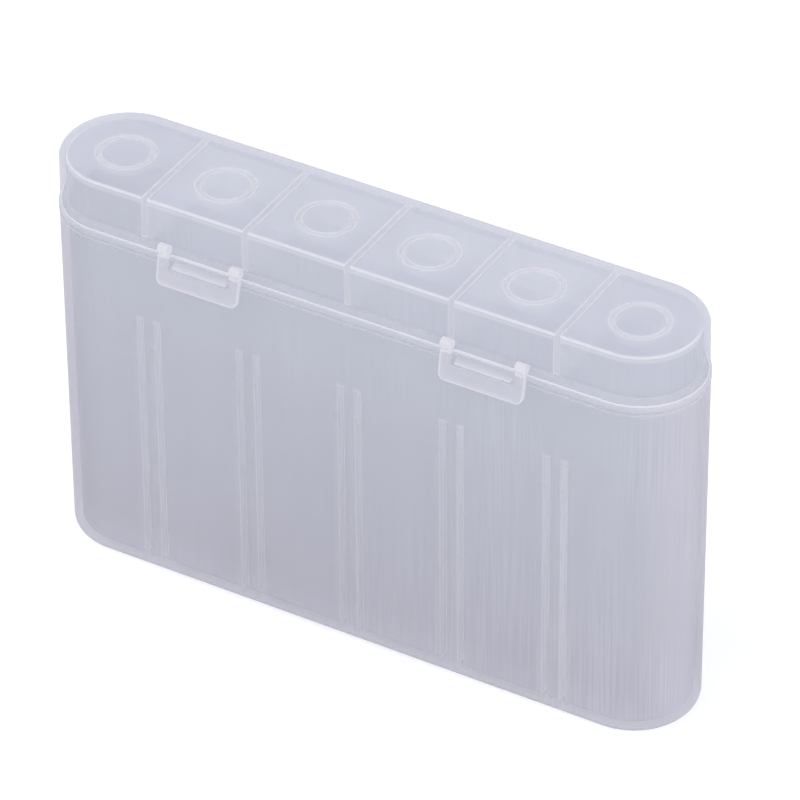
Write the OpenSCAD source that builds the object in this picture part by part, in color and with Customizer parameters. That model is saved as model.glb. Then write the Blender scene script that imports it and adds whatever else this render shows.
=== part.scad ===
// Storage case for six round cells that stand side by side in one row.
// A slim box with half-round ends, a hinged lid and two latch flaps on the front.
// Millimetres. X runs along the row, the front faces -Y, Z points up, the foot lies on Z = 0.

/* [Row of cells] */
// Number of cells in the row
cells = 6; // [4:1:8]
// Distance between the middles of neighbouring cells
pitch = 20.5; // [19.8:0.1:23]
// Radius of the space that the ribs leave for each cell
cell_space_r = 9.7; // [9.4:0.05:9.9]

/* [Body] */
// Radius of the half-round ends under the rim band, half the width of the case
wall_r = 12.15; // [11.9:0.05:13.5]
// Height of the seam between body and lid above the table
seam_z = 71.2; // [60:0.1:90]
// How much slimmer each side is at the foot than under the rim band
draft = 0.08; // [0.04:0.01:0.4]
// Thickness of the side wall
body_wall = 1.5; // [1.3:0.05:1.8]
// Thickness of the floor
floor_t = 1.6; // [1.2:0.1:3]
// Radius of the outer edge round the foot
foot_edge_r = 2.3; // [1:0.1:2.4]
// Radius of the corner between floor and wall inside
floor_corner_r = 1.0; // [0.4:0.1:1.4]

/* [Rim band] */
// How far the band round the top of the body stands proud
band_out = 0.12; // [0.06:0.01:0.25]
// Height of the band's straight part
band_h = 1.1; // [0.6:0.1:2]
// Height of the slope under the band
band_slope_h = 1.0; // [0.4:0.1:2]

/* [Lip inside the lid] */
// Thickness of the lip that stands up inside the lid
lip_t = 0.6; // [0.5:0.05:0.75]
// Height of the lip above the seam
lip_h = 1.3; // [1:0.1:2]
// Sideways clearance between lip and lid
lip_gap = 0.15; // [0.12:0.01:0.25]
// Clearance above the lip
lip_top_gap = 0.3; // [0.2:0.05:0.5]

/* [Divider ribs] */
// Thickness of one rib
rib_t = 1.2; // [0.7:0.1:1.4]
// Distance between the middles of the two ribs of a pair
rib_pair = 3.5; // [2.6:0.1:4.5]
// Distance from the seam down to the top of the ribs
rib_drop = 16.7; // [10:0.1:30]
// Height of the slanted lead-in at the top of a rib
rib_lead = 4.0; // [1:0.1:8]

/* [Lid] */
// Height of the lid above the seam
lid_h = 10.8; // [9:0.1:16]
// Thickness of the top plate
top_t = 1.2; // [1:0.05:1.8]
// Thickness of the lid's side wall
lid_wall = 1.2; // [1:0.05:1.5]
// Thickness of the thinner skirt that goes round the lip
skirt_t = 0.6; // [0.5:0.05:0.8]
// How much slimmer each side of the lid is at the top
lid_draft = 0.12; // [0.05:0.01:0.3]
// Radius of the edge round the top plate
top_edge_r = 1.5; // [0.8:0.1:2]
// Radius of the corner between top plate and wall inside
top_corner_r = 0.5; // [0.2:0.1:1]
// Gap between the lid's rim and the body at the seam
seam_gap = 0.15; // [0.1:0.01:0.3]
// Radius of the ring that centres each cell's end, to its outside
ring_r = 5.4; // [4.5:0.1:6.5]
// Wall of the ring
ring_wall = 0.95; // [0.7:0.05:1.4]
// Height of the ring below the top plate
ring_h = 1.4; // [0.8:0.1:2.5]

/* [Partitions of the lid] */
// Thickness of the partitions between the cells
partition_t = 1.1; // [0.8:0.1:1.5]
// Clearance between a partition's foot and the lip beside it
partition_side_gap = 0.5; // [0.45:0.05:0.8]
// Height of a partition's foot above the seam
partition_up = 0.3; // [0.2:0.1:1]

/* [Latches] */
// Distance from the middle of the case to the middle of each latch
latch_x = 28.3; // [22:0.1:32]
// Width of a latch
latch_w = 16.5; // [13:0.1:18]
// Distance from the seam down to the lower edge of a latch
latch_drop = 4.3; // [4:0.1:8]
// Thickness of the latch plate
latch_t = 0.75; // [0.7:0.05:1.2]
// Width of the strap at each end of a latch
strap_w = 2.0; // [1.6:0.1:3.2]
// Radius of the round bead on which a latch turns
bead_r = 1.0; // [0.8:0.05:1.1]
// Height of a latch's turning axis above the seam
latch_axis_up = 2.2; // [1.8:0.05:2.6]
// Distance from the lid's wall out to a latch's turning axis
latch_axis_out = 0.95; // [0.9:0.05:1.1]
// How far a bead stands proud of the top of the latch plate
bead_proud = 0.55; // [0.3:0.05:0.7]
// Clearance between a bead and its seat
bead_gap = 0.1; // [0.05:0.01:0.1]
// Clearance at each end of a bead's seat
bead_side_gap = 0.4; // [0.3:0.05:0.6]
// How far the lower edge of a latch stands out beyond its top
latch_lean = 1.4; // [0.6:0.1:2]
// Distance from the seam down to the top of the bar that hooks under the catch
bar_drop = 1.25; // [0.75:0.05:1.4]
// Radius of the bar
bar_r = 0.4; // [0.35:0.05:0.6]
// How far the bar stands out of the plate on its inner side
bar_proud = 0.1; // [0.05:0.05:0.2]
// Radius of the lower corners of a latch
latch_corner_r = 1.4; // [0.6:0.1:2.2]

/* [Catches] */
// Distance from the seam down to the top of a catch
catch_drop = 0.1; // [0.05:0.05:0.15]
// Clearance between a catch and the bar under it
catch_gap = 0.25; // [0.2:0.05:0.35]
// Clearance between a catch and the strap at each end of it
catch_side_gap = 0.8; // [0.3:0.05:1.2]
// How far a catch reaches over the bar
catch_hook = 0.35; // [0.2:0.05:0.45]

/* [Back hinges] */
// Distance from the middle of the case to the middle of each back hinge
hinge_x = 28.3; // [22:0.1:32]
// Width of a back hinge
hinge_w = 16.8; // [10:0.1:18]
// Radius of the hinge bead
hinge_bead_r = 0.85; // [0.7:0.05:1]
// Clearance between the hinge bead and the rim band
hinge_wall_gap = 0.15; // [0.1:0.01:0.3]
// Height of the web that carries the bead on the lid, and of the web under it on the body
hinge_web_h = 2.6; // [2:0.1:3.5]
// Thickness of plastic left under the bead's seat
seat_t = 0.5; // [0.4:0.05:0.8]

/* [Hidden] */
$fn = 96;
eps = 0.02;

half_run = (cells - 1) / 2 * pitch;
cell_xs = [for (i = [0 : cells - 1]) i * pitch - half_run];
divider_xs = [for (i = [1 : cells - 1]) i * pitch - half_run - pitch / 2];

inner_r = wall_r - body_wall;
foot_r = wall_r - draft;
band_r = wall_r + band_out;
lip_r = inner_r + lip_t;

recess_r = lip_r + lip_gap;
lid_r = recess_r + skirt_t;
lid_inner_r = lid_r - lid_wall;
lid_low_z = seam_z + seam_gap;
recess_z = seam_z + lip_h + lip_top_gap;
top_z = seam_z + lid_h;
ceiling_z = top_z - top_t;

latch_axis_y = -(lid_r + latch_axis_out);
latch_axis_z = seam_z + latch_axis_up;
plate_top_y = latch_axis_y - bead_r + bead_proud;
plate_low_y = plate_top_y - latch_lean;
latch_low_z = seam_z - latch_drop;
window_w = latch_w - 2 * strap_w;
bar_z = seam_z - bar_drop - bar_r;
lean_at_bar = latch_lean * (latch_axis_z - bar_z) / (latch_axis_z - latch_low_z);
plate_in_y = plate_top_y - lean_at_bar + latch_t;

hinge_axis_y = band_r + hinge_wall_gap + hinge_bead_r;

// Half of the upright section of a drafted solid with round edges, right of the middle.
module half_section(r_low, r_high, z_low, z_high, low_edge = 0, high_edge = 0) {
    polygon([
        [0, z_low], [r_low - low_edge, z_low], [r_low - low_edge, z_low + low_edge],
        [r_low, z_low + low_edge], [r_high, z_high - high_edge],
        [r_high - high_edge, z_high - high_edge], [r_high - high_edge, z_high], [0, z_high]
    ]);
    if (low_edge > 0) translate([r_low - low_edge, z_low + low_edge]) circle(low_edge);
    if (high_edge > 0) translate([r_high - high_edge, z_high - high_edge]) circle(high_edge);
}

// A solid with half-round ends: the children's half section, turned at both ends
// and drawn along the straight run between them.
module along_row() {
    for (side = [-1, 1]) translate([side * half_run, 0, 0]) rotate_extrude() children();
    rotate([90, 0, 90]) linear_extrude(2 * half_run, center = true) {
        children();
        mirror([1, 0]) children();
    }
}

// An upright outline in Y and Z, drawn to a width along X.
module across(width) {
    rotate([90, 0, 90]) linear_extrude(width, center = true) children();
}

// A round bar along X.
module bar_x(r, length) {
    rotate([0, 90, 0]) cylinder(r = r, h = length, center = true);
}

// Half section of the body's outside: round foot edge, drafted wall, rim band, lip.
module body_outside() {
    half_section(foot_r, wall_r, 0, seam_z, foot_edge_r);
    polygon([
        [0, seam_z], [0, seam_z - band_h - band_slope_h], [wall_r, seam_z - band_h - band_slope_h],
        [band_r, seam_z - band_h], [band_r, seam_z]
    ]);
    half_section(lip_r, lip_r, seam_z - 1, seam_z + lip_h);
}

// One rib of a pair, from front wall to back wall before the cells are cut out of it.
// Its top slants down inward, to lead a cell in.
module rib_blank() {
    rib_top = seam_z - rib_drop;
    reach = inner_r + body_wall / 2;
    across(rib_t) for (side = [0, 1]) mirror([side, 0]) polygon([
        [0, floor_t - eps], [reach, floor_t - eps], [reach, rib_top],
        [inner_r, rib_top], [cell_space_r / 2, rib_top - rib_lead], [0, rib_top - rib_lead]
    ]);
}

// The catch that a latch's bar hooks under.
module catch() {
    top = seam_z - catch_drop;
    low = seam_z - bar_drop + catch_gap;
    out = plate_in_y - catch_hook;
    root = -(inner_r + body_wall / 2);
    across(window_w - 2 * catch_side_gap) polygon([
        [root, low], [out, low], [out, (low + top) / 2], [-band_r, top], [root, top]
    ]);
}

// Body's half of a back hinge: a web hollowed to the round of the lid's bead.
module hinge_seat() {
    root = inner_r + body_wall / 2;
    hollow_r = hinge_bead_r + bead_gap;
    low = seam_z - hollow_r - seat_t;
    difference() {
        across(hinge_w) polygon([
            [root, seam_z - seam_gap], [hinge_axis_y, seam_z - seam_gap], [hinge_axis_y, low],
            [wall_r, low - hinge_web_h], [root, low - hinge_web_h]
        ]);
        translate([0, hinge_axis_y, seam_z]) bar_x(hollow_r, hinge_w + 2);
    }
}

module body() {
    color([0.86, 0.88, 0.93]) {
        difference() {
            along_row() body_outside();
            along_row() half_section(foot_r - body_wall, inner_r, floor_t, seam_z + lip_h + 1, floor_corner_r);
        }
        difference() {
            for (x = divider_xs, side = [-1, 1]) translate([x + side * rib_pair / 2, 0, 0]) rib_blank();
            for (x = cell_xs) translate([x, 0, floor_t]) cylinder(r = cell_space_r, h = seam_z);
        }
        for (side = [-1, 1]) {
            translate([side * latch_x, 0, 0]) catch();
            translate([side * hinge_x, 0, 0]) hinge_seat();
        }
    }
}

// Half section of the lid's hollow: the recess round the lip and the space above it.
module lid_hollow() {
    half_section(recess_r, recess_r, lid_low_z - 1, recess_z);
    half_section(lid_inner_r, lid_inner_r - lid_draft, lid_low_z - 1, ceiling_z, 0, top_corner_r);
}

// One partition: full width above the lip, narrower where its foot goes down inside it.
module partition() {
    wide = lid_inner_r + lid_wall / 3;
    narrow = inner_r - partition_side_gap;
    across(partition_t) polygon([
        [-narrow, seam_z + partition_up], [narrow, seam_z + partition_up], [narrow, recess_z],
        [wide, recess_z], [wide, ceiling_z + eps], [-wide, ceiling_z + eps], [-wide, recess_z], [-narrow, recess_z]
    ]);
}

// Lid's half of a back hinge: the bead and the web that carries it.
module hinge_bead() {
    bead_top = seam_z + hinge_bead_r;
    translate([0, hinge_axis_y, seam_z]) bar_x(hinge_bead_r, hinge_w);
    across(hinge_w) polygon([
        [lid_r - skirt_t / 2, lid_low_z], [hinge_axis_y, lid_low_z], [hinge_axis_y, bead_top],
        [lid_r - lid_draft, bead_top + hinge_web_h], [lid_r - skirt_t, bead_top + hinge_web_h], [lid_r - skirt_t / 2, recess_z]
    ]);
}

module lid() {
    color([0.92, 0.94, 0.97]) {
        difference() {
            along_row() half_section(lid_r, lid_r - lid_draft, lid_low_z, top_z, 0, top_edge_r);
            along_row() lid_hollow();
            for (x = [-latch_x, latch_x], side = [-1, 1])
                translate([x + side * (latch_w - strap_w) / 2, latch_axis_y, latch_axis_z])
                    bar_x(bead_r + bead_gap, strap_w + 2 * bead_side_gap);
        }
        for (x = divider_xs) translate([x, 0, 0]) partition();
        for (x = cell_xs) translate([x, 0, ceiling_z - ring_h]) difference() {
            cylinder(r = ring_r, h = ring_h + eps);
            translate([0, 0, -1]) cylinder(r = ring_r - ring_wall, h = ring_h + 1);
        }
        for (side = [-1, 1]) translate([side * hinge_x, 0, 0]) hinge_bead();
    }
}

// One latch, in the middle of the row. Its leaning plate hangs from two beads by two
// straps, and the bar between the straps hooks under the body's catch.
module latch() {
    difference() {
        union() {
            across(latch_w) polygon([
                [plate_top_y + latch_t, latch_axis_z], [plate_low_y + latch_t, latch_low_z],
                [plate_low_y, latch_low_z], [plate_top_y, latch_axis_z]
            ]);
            translate([0, latch_axis_y, latch_axis_z]) bar_x(bead_r, latch_w);
        }
        translate([-window_w / 2, plate_low_y - 1, bar_z])
            cube([window_w, latch_axis_y + 2 * bead_r - plate_low_y, latch_axis_z + 2 * bead_r - bar_z]);
        for (side = [-1, 1]) translate([side * (latch_w / 2 - latch_corner_r), 0, latch_low_z + latch_corner_r])
            corner_cutter(side);
    }
    translate([0, plate_in_y + bar_proud - bar_r, bar_z]) bar_x(bar_r, window_w + 2 * eps);
}

// What is cut away outside a latch's round lower corner.
module corner_cutter(side) {
    cutter = latch_corner_r + 1;
    difference() {
        translate([side > 0 ? 0 : -cutter, 2 * plate_low_y, -cutter]) cube([cutter, -2 * plate_low_y, cutter]);
        rotate([90, 0, 0]) cylinder(r = latch_corner_r, h = -5 * plate_low_y, center = true);
    }
}

module latch_left() {
    color([0.95, 0.95, 0.97]) translate([-latch_x, 0, 0]) latch();
}

module latch_right() {
    color([0.95, 0.95, 0.97]) translate([latch_x, 0, 0]) latch();
}

body();
lid();
latch_left();
latch_right();
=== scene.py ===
"""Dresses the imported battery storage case: frosted plastic, white studio, the photograph's camera.

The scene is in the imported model's frame: metres, +Z up. The lid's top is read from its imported
node. The other sizes of the case are written here in millimetres, and say where the plastic is
thick or folded.
"""
import functools
import math

import bpy
from mathutils import Matrix, Vector


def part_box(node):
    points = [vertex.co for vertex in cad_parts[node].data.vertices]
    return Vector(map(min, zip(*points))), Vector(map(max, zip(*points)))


MM = 0.001

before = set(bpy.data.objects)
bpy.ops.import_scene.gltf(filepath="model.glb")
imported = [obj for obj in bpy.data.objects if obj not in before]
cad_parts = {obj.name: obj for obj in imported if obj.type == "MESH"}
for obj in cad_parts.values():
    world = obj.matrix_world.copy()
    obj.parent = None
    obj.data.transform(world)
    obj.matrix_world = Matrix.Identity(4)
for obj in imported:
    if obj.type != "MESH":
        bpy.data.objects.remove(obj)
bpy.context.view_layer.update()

# The camera, solved so that the case's ends, seam, rings, partitions and ribs fall where the
# photograph has them. The image is taken as 800 by 800.
VIEW_AZIMUTH = math.radians(30.40)
VIEW_ELEVATION = math.radians(36.44)
VIEW_ROLL = math.radians(-0.44)
VIEW_DISTANCE = 1059.7 * MM
VIEW_TARGET = Vector((4.043, 0, 46.935)) * MM
PIXELS_PER_MM = 5.708  # at the target
FRAME_PIXELS = 800
SENSOR = 36.0


def add_camera():
    back = Vector((math.sin(VIEW_AZIMUTH) * math.cos(VIEW_ELEVATION),
                   -math.cos(VIEW_AZIMUTH) * math.cos(VIEW_ELEVATION),
                   math.sin(VIEW_ELEVATION)))
    level_right = Vector((0, 0, 1)).cross(back).normalized()
    level_up = back.cross(level_right)
    right = level_right * math.cos(VIEW_ROLL) + level_up * math.sin(VIEW_ROLL)
    up = level_up * math.cos(VIEW_ROLL) - level_right * math.sin(VIEW_ROLL)
    data = bpy.data.cameras.new("photo_camera")
    data.sensor_width = SENSOR
    data.lens = PIXELS_PER_MM / MM * VIEW_DISTANCE / FRAME_PIXELS * SENSOR
    data.clip_start, data.clip_end = 0.05, 20
    camera = bpy.data.objects.new("photo_camera", data)
    place = Matrix((right, up, back)).transposed().to_4x4()
    place.translation = VIEW_TARGET + back * VIEW_DISTANCE
    camera.matrix_world = place
    bpy.context.scene.collection.objects.link(camera)
    bpy.context.scene.camera = camera


add_camera()


# Short calls for material nodes
class Nodes:
    """A material's or world's node tree, with short calls to add and join nodes. A value is
    a number, a colour or another node's socket."""

    def __init__(self, owner):
        owner.use_nodes = True
        self.tree = owner.node_tree
        self.tree.nodes.clear()

    def add(self, kind, inputs=None, **settings):
        node = self.tree.nodes.new(kind)
        for key, value in settings.items():
            setattr(node, key, value)
        for key, value in (inputs or {}).items():
            if isinstance(value, bpy.types.NodeSocket):
                self.tree.links.new(value, node.inputs[key])
            else:
                node.inputs[key].default_value = value
        return node

    def first(self, kind, inputs=None, **settings):
        return self.add(kind, inputs, **settings).outputs[0]

    def noise(self, vector, scale, detail=0):
        stretched = self.first("ShaderNodeMapping", {"Vector": vector, "Scale": scale})
        return self.add("ShaderNodeTexNoise", {
            "Vector": stretched, "Scale": 1, "Detail": detail}).outputs["Fac"]

    def math(self, operation, a, b=0.0):
        return self.first("ShaderNodeMath", {0: a, 1: b}, operation=operation)

    def times(self, *values):
        return functools.reduce(functools.partial(self.math, "MULTIPLY"), values)

    def most(self, *values):
        return functools.reduce(functools.partial(self.math, "MAXIMUM"), values)

    def hypotenuse(self, a, b):
        return self.math("SQRT", self.math("ADD", self.times(a, a), self.times(b, b)))

    def ranged(self, value, low, high, to_low, to_high):
        """Goes from to_low to to_high as value goes from low to high, and stays there."""
        return self.first("ShaderNodeMapRange", {
            "Value": value, "From Min": low, "From Max": high,
            "To Min": to_low, "To Max": to_high})

    def over(self, length, low, high, to_low, to_high):
        """The same for a length, with low and high in millimetres."""
        return self.ranged(length, low * MM, high * MM, to_low, to_high)

    def near(self, length, middle, half_width, soft):
        """1 where a length lies within half_width of middle, easing to 0 over soft, all
        three in millimetres."""
        away = self.math("ABSOLUTE", self.math("SUBTRACT", length, middle * MM))
        return self.over(away, half_width - soft / 2, half_width + soft / 2, 1, 0)

    def mixed(self, factor, a, b, blend="MIX"):
        return self.add("ShaderNodeMix", {0: factor, 6: a, 7: b},
                        data_type="RGBA", blend_type=blend).outputs[2]

    def mixed_value(self, factor, a, b):
        return self.first("ShaderNodeMix", {0: factor, 2: a, 3: b}, data_type="FLOAT")

    def mixed_shader(self, factor, a, b):
        return self.first("ShaderNodeMixShader", {0: factor, 1: a, 2: b})


def srgb(red, green, blue):
    """A colour given as it looks on screen, 0 to 255, as linear values."""
    def linear(value):
        value /= 255
        return value / 12.92 if value <= 0.04045 else ((value + 0.055) / 1.055) ** 2.4
    return (linear(red), linear(green), linear(blue), 1)


# Where the plastic is thick, in millimetres. The half widths reach a little past part.scad's,
# so that they take in the side faces.
PITCH = 20.5
HALF_RUN = 2.5 * PITCH
SEAM = 71.2
LID_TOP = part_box("lid")[1][2] / MM
CEILING = LID_TOP - 1.2
PLATE = (LID_TOP - 1.6, LID_TOP - 1.4)  # the top plate is above these heights
BODY_SKIN = (11.3, 11.5)  # outer faces of the body are farther out than these
LID_SKIN = (11.55, 11.7)
RIB_OFFSET = 1.75
RIB_HALF_WIDTH = 0.72
RIB_MIDDLE = 28
RIB_HALF_HEIGHT = 27
RIB_BEVEL = (49.8, 50.3)  # a rib's top leans back from the cells just above these
PARTITION_HALF_WIDTH = 0.6
RING_RADIUS = 4.93
RING_HALF_WIDTH = 0.62
RING_FOOT = CEILING - 1.5
CATCH_OUT = (12.35, 12.45)
LATCH_X = 28.3
LATCH_HALF_WIDTH = 8.25
LATCH_FOOT = SEAM - 4.3
LATCH_ROUND = 1.4


class Places:
    """Places on the case, read from object coordinates: height, distance out from the line
    through the middles of the end rounds, distance from the nearest divider, and distance
    from the nearest cell's middle. Leaving is 1 on a face that is seen from inside the
    plastic, and entering is 1 on a face that is seen from the air."""

    def __init__(self, n):
        self.at = n.add("ShaderNodeTexCoord").outputs["Object"]
        self.sideways, self.back, self.height = n.add("ShaderNodeSeparateXYZ", {0: self.at}).outputs[:3]
        self.along = n.math("ABSOLUTE", self.sideways)
        past_end = n.most(n.math("SUBTRACT", self.along, HALF_RUN * MM), 0)
        self.out = n.hypotenuse(past_end, self.back)
        self.from_divider = n.math("PINGPONG", self.along, PITCH / 2 * MM)
        self.from_cell = n.hypotenuse(n.math("SUBTRACT", PITCH / 2 * MM, self.from_divider), self.back)
        self.in_row = n.over(self.along, 2.3 * PITCH, 2.31 * PITCH, 1, 0)
        self.leaving = n.add("ShaderNodeNewGeometry").outputs["Backfacing"]
        self.entering = n.math("SUBTRACT", 1, self.leaving)


# The haze hides what is behind a face far more than it holds back light, so to the light
# that fills the case each face is clearer than it looks, and plain.
LIGHT_HELD = 0.22
LIT_COLOUR = srgb(214, 215, 224)
LIT_THROUGH = 0.5

# The white that thick places mix towards, which the painted highlights use too
THICK_AND_HIGHLIGHT_WHITE = srgb(240, 240, 244)
THICK_AND_HIGHLIGHT_ALPHA = 0.95
PLASTIC_IOR = 1.49

# Draw lines are fine across the wall and long up it. Clouds are slow.
LINE_SCALE = (3000, 3000, 60)
LINE_HEIGHT = 0.06 * MM
LINE_BUMP = 0.15
CLOUD_SCALE = (60, 60, 32)


def shade_of_lines(n, p, lines, cloud, line_depth):
    """A grey near 1. The lines come and go with the clouds and grow towards the right."""
    strength = n.times(n.ranged(cloud, 0.4, 0.62, 0.25, 1.3), n.over(p.sideways, -20, 45, 0.25, 1))
    streak = n.times(strength, n.ranged(lines, 0.3, 0.7, -line_depth, line_depth))
    shade = n.math("ADD", streak, n.ranged(cloud, 0.3, 0.7, 0.985, 1.015))
    return n.first("ShaderNodeCombineColor", {0: shade, 1: shade, 2: shade})


def milky_shader(n, colour, lines, through, shine, roughness):
    bump = n.first("ShaderNodeBump", {
        "Strength": LINE_BUMP, "Distance": LINE_HEIGHT, "Height": lines})
    face = n.first("ShaderNodeBsdfPrincipled", {
        "Base Color": colour, "Normal": bump, "IOR": PLASTIC_IOR, "Specular IOR Level": shine,
        "Roughness": n.ranged(lines, 0.3, 0.7, roughness - 0.04, roughness + 0.05)})
    spread = n.first("ShaderNodeBsdfTranslucent", {"Color": colour})
    return n.mixed_shader(through, face, spread)


def plain_milky_shader(n):
    face = n.first("ShaderNodeBsdfDiffuse", {"Color": LIT_COLOUR})
    spread = n.first("ShaderNodeBsdfTranslucent", {"Color": LIT_COLOUR})
    return n.mixed_shader(LIT_THROUGH, face, spread)


def frosted(name, colour_of, white_of, outer_of, outer_alpha, leaving_alpha, inner_alpha,
            through, shine, roughness, line_depth):
    """Milky polypropylene. Light passes both straight and spread through each face, an outer
    face is clearer than an inner one, and thick places are whiter, as are the painted highlights. Fine
    upright draw lines from the mould run down every wall."""
    material = bpy.data.materials.new(name)
    n = Nodes(material)
    p = Places(n)
    lines = n.noise(p.at, LINE_SCALE)
    cloud = n.noise(p.at, CLOUD_SCALE, detail=1)
    white = white_of(n, p)
    shade = shade_of_lines(n, p, lines, cloud, line_depth)
    colour = n.mixed(white, n.mixed(1, colour_of(n, p), shade, "MULTIPLY"), THICK_AND_HIGHLIGHT_WHITE)
    outer_face = n.ranged(p.leaving, 0, 1, outer_alpha, leaving_alpha)
    alpha = n.mixed_value(outer_of(n, p), inner_alpha, outer_face)
    alpha = n.most(alpha, n.math("MINIMUM", n.times(white, 1.3), THICK_AND_HIGHLIGHT_ALPHA))
    clear = n.first("ShaderNodeBsdfTransparent")
    milky = milky_shader(n, colour, lines, through, shine, roughness)
    seen = n.mixed_shader(alpha, clear, milky)
    lit = n.mixed_shader(LIGHT_HELD, clear, plain_milky_shader(n))
    path = n.add("ShaderNodeLightPath").outputs
    lighting = n.most(path["Is Shadow Ray"], path["Is Diffuse Ray"])
    n.add("ShaderNodeOutputMaterial", {"Surface": n.mixed_shader(lighting, seen, lit)})
    return material


# The body's looks
# Painted shade and light: the wall is darker and greyer low down, lighter and bluer up under the seam
BODY_SHADED_LOW = srgb(194, 193, 204)
BODY_LIT_HIGH = srgb(197, 200, 210)
BODY_PALE = srgb(209, 207, 218)
# Painted shade for the outside of the far end
BODY_FAR_END_SHADE = srgb(187, 186, 195)
# Painted contact shadow along the foot's edge, where the case meets the floor
BODY_FOOT_SHADOW = srgb(172, 171, 182)


def foot_shadow_edge(n, p):
    """The rounded edge that the case stands on, seen from outside, where a contact shadow is painted.
    """
    return n.times(n.over(p.height, 1.1, 1.7, 1, 0), p.entering)


def body_colour(n, p):
    """Painted shade and light: darker and greyer low down, lighter and bluer under the seam, and
    paler round the ends. Lighter above the foot. The outside has painted shade at the far end and a
    painted contact shadow at the foot's edge."""
    wall = n.mixed(n.over(p.height, 10, SEAM, 0, 1), BODY_SHADED_LOW, BODY_LIT_HIGH)
    foot = n.over(p.height, 1, 9, 0.5, 0)
    # Painted light: the round ends are paler where seen from inside the plastic, and outside at the
    # near end
    round_end = n.over(p.along, HALF_RUN + 5, HALF_RUN + 11, 0, 1)
    end = n.times(round_end, n.most(p.leaving, n.over(p.sideways, -1, 1, 0, 1)))
    wall = n.mixed(n.most(foot, end), wall, BODY_PALE)
    # Painted shade: the outside darkens towards the far end
    far_end_shade = n.times(n.over(p.sideways, -60, -35, 0.45, 0), p.entering)
    wall = n.mixed(far_end_shade, wall, BODY_FAR_END_SHADE)
    return n.mixed(foot_shadow_edge(n, p), wall, BODY_FOOT_SHADOW)


def body_white(n, p):
    """Ribs, the rim band, the catches and the floor's edge are milkier, and the ledge on the rim band
    carries a painted highlight. A rib is fainter in the wall that it stands on, and at its leaning top
    as seen from the air."""
    rib = n.times(n.near(p.from_divider, RIB_OFFSET, RIB_HALF_WIDTH, 0.1), p.in_row,
                  n.near(p.height, RIB_MIDDLE, RIB_HALF_HEIGHT, 0.5),
                  n.over(p.out, 9.6, 10.5, 0.62, 0.34), n.over(p.out, 10.7, 11, 1, 0.5),
                  n.most(p.leaving, n.over(p.height, *RIB_BEVEL, 1, 0.15)))
    # Painted highlight along the ledge at the seam
    ledge = n.over(p.height, SEAM - 0.1, SEAM, 0, 0.5)
    band = n.most(n.near(p.height, SEAM - 0.35, 0.4, 0.1),
                  n.times(n.near(p.height, SEAM - 1.5, 0.4, 0.4), 0.85))
    band = n.times(band, n.over(p.out, *BODY_SKIN, 0, 0.38))
    catch = n.times(n.over(p.out, *CATCH_OUT, 0, 1),
                    n.over(p.height, SEAM - 1.2, SEAM - 1.1, 0, 1),
                    n.over(p.height, SEAM - 0.6, SEAM - 0.5, 0.6, 0.35))
    foot = n.over(p.height, 0.9, 1.6, 0.15, 0)
    return n.most(rib, ledge, band, catch, foot)


def body_outer(n, p):
    outside = n.most(n.over(p.out, *BODY_SKIN, 0, 1), n.over(p.height, 0.6, 0.8, 1, 0))
    # The foot's edge is made less clear, so that its painted contact shadow shows
    return n.times(outside, n.ranged(foot_shadow_edge(n, p), 0, 1, 1, 0.4))


# The lid's looks
LID_WALL = srgb(210, 212, 223)
# Painted shade at the plate's ends and sides, painted light over its middle
PLATE_SHADED_EDGE = srgb(209, 210, 224)
PLATE_LIT_MIDDLE = srgb(226, 228, 238)


def lid_colour(n, p):
    """Painted light and shade on the top plate: lightest over the cells, darker at the ends and along
    both sides.
    """
    middle = n.times(n.over(p.from_cell, 4, 9.5, 1, 0.8), n.over(p.along, 35, 50, 1, 0.4),
                     n.over(p.back, -8, -7.3, 0.5, 1), n.over(p.back, 8.4, 9, 1, 0.4))
    plate = n.mixed(middle, PLATE_SHADED_EDGE, PLATE_LIT_MIDDLE)
    return n.mixed(n.over(p.height, *PLATE, 0, 1), LID_WALL, plate)


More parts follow.
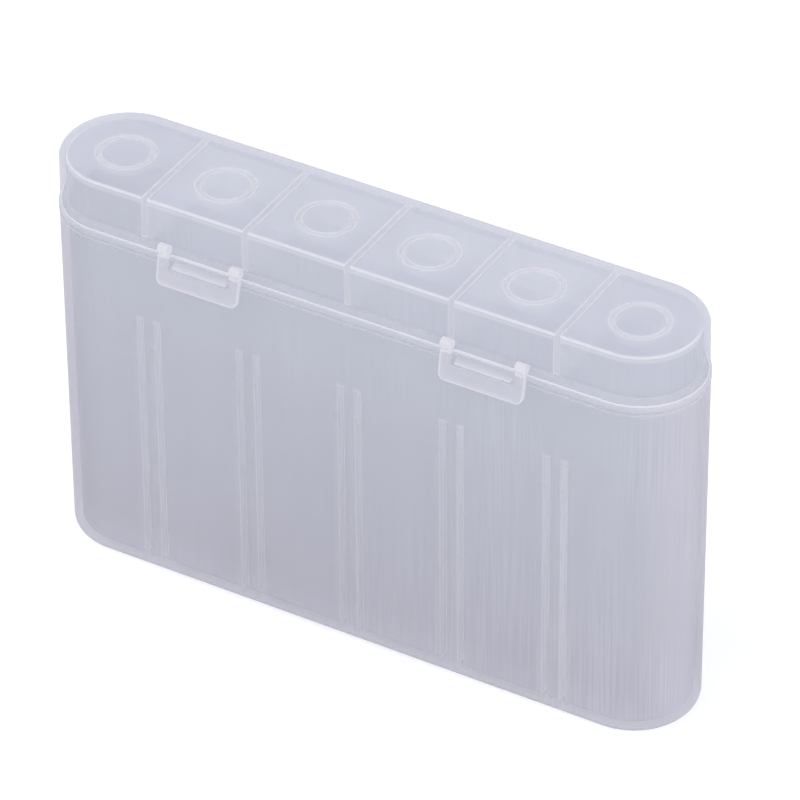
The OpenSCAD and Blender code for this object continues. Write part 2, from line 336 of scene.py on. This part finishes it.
def lid_white(n, p):
    """Partitions and rings are milkier all over, and whitest along the lines where they
    join the top plate and the walls. The top corner inside is white too, partly for its thickness and
    partly as a painted highlight, and the low edge carries a painted highlight."""
    high = n.over(p.height, CEILING - 0.25, CEILING - 0.15, 0, 1)
    wide = n.over(p.out, 10.5, 10.6, 0, 1)
    partition = n.times(
        n.near(p.from_divider, 0, PARTITION_HALF_WIDTH, 0.05), p.in_row,
        n.most(n.ranged(p.leaving, 0, 1, 0.2, 0.6), n.over(p.back, 7.5, 9.5, 0, 0.5)))
    partition_line = n.times(
        n.near(p.from_divider, PARTITION_HALF_WIDTH, 0.1, 0.1), p.in_row,
        n.most(high, wide), n.ranged(high, 0, 1, 0.5, 0.78))
    ring = n.times(n.near(p.from_cell, RING_RADIUS, RING_HALF_WIDTH, 0.1),
                   n.over(p.height, RING_FOOT - 0.1, RING_FOOT, 0, 1),
                   n.ranged(p.leaving, 0, 1, 0.25, 0.73))
    halo = n.times(n.near(p.from_cell, 4.9, 1.1, 0.8), high, 0.35)
    # The top corner inside: partly milkier for its thickness, partly a painted highlight of the lid's
    # top edge
    corner = n.times(n.most(n.over(p.height, CEILING - 0.6, CEILING - 0.3, 0, 0.85),
                            n.over(p.height, CEILING - 1.5, CEILING - 1.1, 0, 0.5)),
                     n.over(p.out, 10, 10.45, 0, 1), n.over(p.back, 0, 8, 1, 0.15))
    inside = n.times(n.over(p.out, 10.9, 11, 1, 0),
                     n.over(p.height, CEILING + 0.1, CEILING + 0.2, 1, 0))
    white = n.times(inside, n.most(partition, partition_line, ring, halo, corner))
    # Painted highlight: the bright line along the lid's low edge at the seam, set higher at the latches
    at_latch = n.near(p.along, LATCH_X, 6.5, 0.5)
    low_edge = n.ranged(at_latch, 0, 1, (SEAM + 0.5) * MM, (SEAM + 0.8) * MM)
    low = n.times(n.over(n.math("SUBTRACT", p.height, low_edge), 0, 0.1, 0.9, 0),
                  n.over(p.out, 11.6, 11.8, 0, 1))
    return n.most(white, low)


def lid_outer(n, p):
    return n.most(n.over(p.out, *LID_SKIN, 0, 1),
                  n.over(p.height, LID_TOP - 0.9, LID_TOP - 0.7, 0, 1))


# The latches' looks
def latch_colour(n, p):
    return srgb(217, 216, 226)


def latch_white(n, p):
    """Whitest at the beads, and along the plate's rounded edge, where the white is a painted highlight.
    """
    off_middle = n.math("ABSOLUTE", n.math("SUBTRACT", p.along, LATCH_X * MM))
    past_side = n.math("SUBTRACT", off_middle, (LATCH_HALF_WIDTH - LATCH_ROUND) * MM)
    past_foot = n.math("SUBTRACT", (LATCH_FOOT + LATCH_ROUND) * MM, p.height)
    edge = n.hypotenuse(n.most(past_side, 0), n.most(past_foot, 0))
    # The white along the plate's rounded edge is a painted highlight
    return n.most(n.over(edge, LATCH_ROUND - 0.35, LATCH_ROUND - 0.2, 0.1, 0.55),
                  n.over(p.height, SEAM + 0.2, SEAM + 1, 0, 0.6))


def latch_outer(n, p):
    return 1


def dress(node, material):
    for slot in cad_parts[node].material_slots:
        slot.material = material


dress("body", frosted("body_plastic", body_colour, body_white, body_outer,
                      outer_alpha=0.12, leaving_alpha=0.9, inner_alpha=0.95,
                      through=0.3, shine=0.25, roughness=0.4, line_depth=0.04))
dress("lid", frosted("lid_plastic", lid_colour, lid_white, lid_outer,
                     outer_alpha=0.12, leaving_alpha=0.85, inner_alpha=0.6,
                     through=0.4, shine=0.4, roughness=0.3, line_depth=0.008))
latch_plastic = frosted("latch_plastic", latch_colour, latch_white, latch_outer,
                        outer_alpha=0.35, leaving_alpha=0.5, inner_alpha=0.5,
                        through=0.4, shine=0.4, roughness=0.3, line_depth=0.008)
dress("latch_left", latch_plastic)
dress("latch_right", latch_plastic)


# The white studio, in metres
FLOOR_HALF = 1.5
FLOOR_DROP = 0.0001
FLOOR_GLOW = 0.15


def background_rays(n):
    path = n.add("ShaderNodeLightPath").outputs
    return n.most(path["Is Camera Ray"], path["Is Glossy Ray"], path["Is Transmission Ray"])


def white_world():
    """Plain white where it is seen or mirrored, and a little less bright as a light."""
    world = bpy.data.worlds.new("white_studio")
    bpy.context.scene.world = world
    n = Nodes(world)
    lit = n.first("ShaderNodeBackground", {"Color": (0.97, 0.98, 1, 1), "Strength": 0.85})
    shown = n.first("ShaderNodeBackground", {"Color": (1, 1, 1, 1), "Strength": 1})
    n.add("ShaderNodeOutputWorld", {"Surface": n.mixed_shader(background_rays(n), lit, shown)})


def white_floor():
    """White paper that glows a little where it is seen or mirrored."""
    data = bpy.data.meshes.new("floor")
    data.from_pydata([(-FLOOR_HALF, -FLOOR_HALF, 0), (FLOOR_HALF, -FLOOR_HALF, 0),
                      (FLOOR_HALF, FLOOR_HALF, 0), (-FLOOR_HALF, FLOOR_HALF, 0)],
                     [], [(0, 1, 2, 3)])
    floor = bpy.data.objects.new("floor", data)
    floor.location.z = -FLOOR_DROP
    bpy.context.scene.collection.objects.link(floor)
    material = bpy.data.materials.new("floor_white")
    n = Nodes(material)
    paper = n.first("ShaderNodeBsdfDiffuse", {"Color": (0.93, 0.93, 0.93, 1)})
    glow = n.first("ShaderNodeEmission", {
        "Color": (1, 1, 1, 1), "Strength": n.ranged(background_rays(n), 0, 1, 0, FLOOR_GLOW)})
    both = n.first("ShaderNodeAddShader", {0: paper, 1: glow})
    n.add("ShaderNodeOutputMaterial", {"Surface": both})
    data.materials.append(material)


def soft_lamp(name, place, aim, size, power):
    data = bpy.data.lights.new(name, "AREA")
    data.shape, data.size, data.energy = "DISK", size, power
    lamp = bpy.data.objects.new(name, data)
    lamp.location = place
    lamp.rotation_euler = (Vector(place) - Vector(aim)).to_track_quat("Z", "Y").to_euler()
    bpy.context.scene.collection.objects.link(lamp)


white_world()
white_floor()
case_middle = (0, 0, LID_TOP / 2 * MM)
soft_lamp("key", (-0.4, -0.6, 1.2), case_middle, size=1, power=4)
soft_lamp("fill", (0.9, -0.6, 0.6), case_middle, size=0.8, power=3)

bpy.context.scene.view_settings.view_transform = "Standard"
